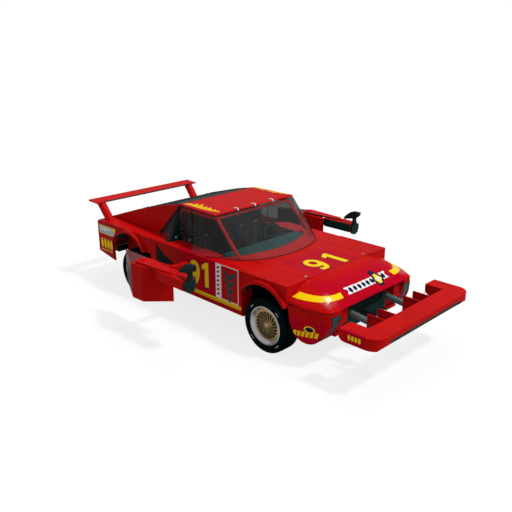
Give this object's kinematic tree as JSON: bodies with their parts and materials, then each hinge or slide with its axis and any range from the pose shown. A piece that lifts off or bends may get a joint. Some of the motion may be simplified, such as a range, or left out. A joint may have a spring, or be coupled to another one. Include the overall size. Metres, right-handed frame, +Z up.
{
  "type": "gt race car",
  "caption": "Wedge-shaped two-seat race car with a ram bumper on push tubes, side pods on outrigger arms, a high tail wing and wide tyres",
  "frame": {"origin": "on the ground, at the middle of the car's whole box in X and Y", "axes": "+Z up, -Y is the car's front, -X is the car's right-hand side"},
  "size_m": [3.37, 5.174, 1.406],
  "materials": {
    "red_paint": "gloss",
    "red_tube": "satin",
    "black_chassis": "satin",
    "tinted_glass": "clear",
    "red_lens": "gloss",
    "lamp_lens": "gloss",
    "black_plastic": "satin",
    "seat_leather": "satin",
    "grey_steel": "satin",
    "rim_alloy": "polished",
    "tyre_rubber": "matte"
  },
  "bodies": {
    "body": {"tub": "black_chassis", "sills": "red_paint", "roll_cage": "red_tube", "roof_panel": "red_paint", "windscreen": "tinted_glass", "quarter_glass": "tinted_glass", "cowl_panel": "red_paint", "dashboard": "black_plastic", "steering_wheel": "black_plastic", "seat_right": "seat_leather", "seat_left": "seat_leather", "wheel_liners_front": "black_chassis", "wheel_liners_rear": "black_chassis", "front_wings": "red_paint", "quarter_panels": "red_paint", "side_grilles": "black_plastic", "rear_wings": "red_paint", "rear_body": "red_paint", "tail_panel": "red_paint", "rear_valance": "black_plastic", "rear_wing": "red_paint", "nose_panel": "red_paint", "front_bumper": "red_paint", "headlamps": "lamp_lens", "front_grille": "black_plastic", "tow_beam": "red_paint", "ram_bumper": "red_paint", "ram_tubes": "grey_steel", "engine_block": "black_chassis", "front_wishbones": "grey_steel", "rear_axle": "grey_steel"},
    "hood": {"hood": "red_paint"},
    "engine_cover": {"engine_cover": "black_plastic"},
    "door_right": {"door_right": "red_paint", "door_glass_right": "tinted_glass", "outrigger_right": "red_paint", "pod_lens_right": "red_lens", "boom_right": "red_paint", "claw_right": "black_plastic"},
    "door_left": {"door_left": "red_paint", "door_glass_left": "tinted_glass", "outrigger_left": "red_paint", "pod_lens_left": "red_lens", "boom_left": "red_paint", "claw_left": "black_plastic"},
    "knuckle_right": {"knuckle_right": "grey_steel"},
    "knuckle_left": {"knuckle_left": "grey_steel"},
    "wheel_front_right": {"rim_front_right": "rim_alloy", "tyre_front_right": "tyre_rubber"},
    "wheel_front_left": {"rim_front_left": "rim_alloy", "tyre_front_left": "tyre_rubber"},
    "wheel_rear_right": {"rim_rear_right": "rim_alloy", "tyre_rear_right": "tyre_rubber"},
    "wheel_rear_left": {"rim_rear_left": "rim_alloy", "tyre_rear_left": "tyre_rubber"}
  },
  "joints": [
    {"name": "steer_right", "type": "hinge", "parent": "body", "child": "knuckle_right", "pos_m": [-0.76, -1.045, 0.34], "axis": [0, 0, 1], "range_deg": [-25, 25]},
    {"name": "steer_left", "type": "hinge", "parent": "body", "child": "knuckle_left", "pos_m": [0.76, -1.045, 0.34], "axis": [0, 0, 1], "range_deg": [-25, 25]},
    {"name": "spin_front_right", "type": "hinge", "parent": "knuckle_right", "child": "wheel_front_right", "pos_m": [-0.8285, -1.045, 0.34], "axis": [1, 0, 0], "continuous": true},
    {"name": "spin_front_left", "type": "hinge", "parent": "knuckle_left", "child": "wheel_front_left", "pos_m": [0.8285, -1.045, 0.34], "axis": [1, 0, 0], "continuous": true},
    {"name": "spin_rear_right", "type": "hinge", "parent": "body", "child": "wheel_rear_right", "pos_m": [-0.82, 1.445, 0.34], "axis": [1, 0, 0], "continuous": true},
    {"name": "spin_rear_left", "type": "hinge", "parent": "body", "child": "wheel_rear_left", "pos_m": [0.82, 1.445, 0.34], "axis": [1, 0, 0], "continuous": true},
    {"name": "door_right_swing", "type": "hinge", "parent": "body", "child": "door_right", "pos_m": [-0.943, -0.656, 0.5], "axis": [0, 0, 1], "range_deg": [0, 60]},
    {"name": "door_left_swing", "type": "hinge", "parent": "body", "child": "door_left", "pos_m": [0.943, -0.656, 0.5], "axis": [0, 0, -1], "range_deg": [0, 60]},
    {"name": "hood_lift", "type": "hinge", "parent": "body", "child": "hood", "pos_m": [0, -1.371, 0.918], "axis": [1, 0, 0], "range_deg": [0, 70]},
    {"name": "engine_cover_lift", "type": "hinge", "parent": "body", "child": "engine_cover", "pos_m": [0, 0.76, 1.402], "axis": [1, 0, 0], "range_deg": [0, 55]}
  ],
  "couplings": [
    {"joint": "steer_left", "follows": "steer_right", "ratio": 1}
  ]
}
